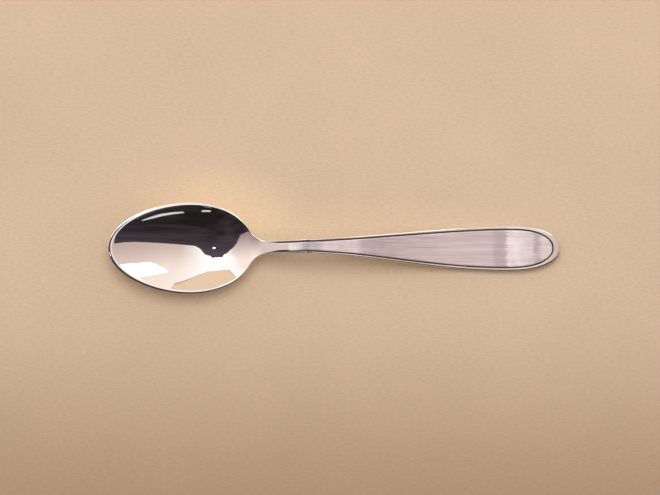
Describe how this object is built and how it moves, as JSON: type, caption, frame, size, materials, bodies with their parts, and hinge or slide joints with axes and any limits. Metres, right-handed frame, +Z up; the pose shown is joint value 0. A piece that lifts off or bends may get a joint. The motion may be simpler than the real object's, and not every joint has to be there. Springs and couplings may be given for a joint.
{
  "type": "demitasse spoon",
  "caption": "Small coffee spoon with a mirror-polished egg-shaped bowl, a slim neck and a widening handle whose brushed panel has a dark border line.",
  "frame": {"origin": "on the table, under the middle of the spoon's length and width", "axes": "+X from the bowl to the end of the handle, +Z up out of the hollow of the bowl"},
  "size_m": [0.11, 0.0222, 0.0103],
  "materials": {
    "mirror_steel": "mirror polished",
    "polished_steel": "polished",
    "brushed_panel": "satin, brushed along the length",
    "dark_line": "darkened, matt"
  },
  "bodies": {
    "root": {"bowl": "mirror_steel", "neck": "polished_steel", "handle": "polished_steel", "handle_panel": "brushed_panel", "border_line": "dark_line"}
  },
  "joints": []
}
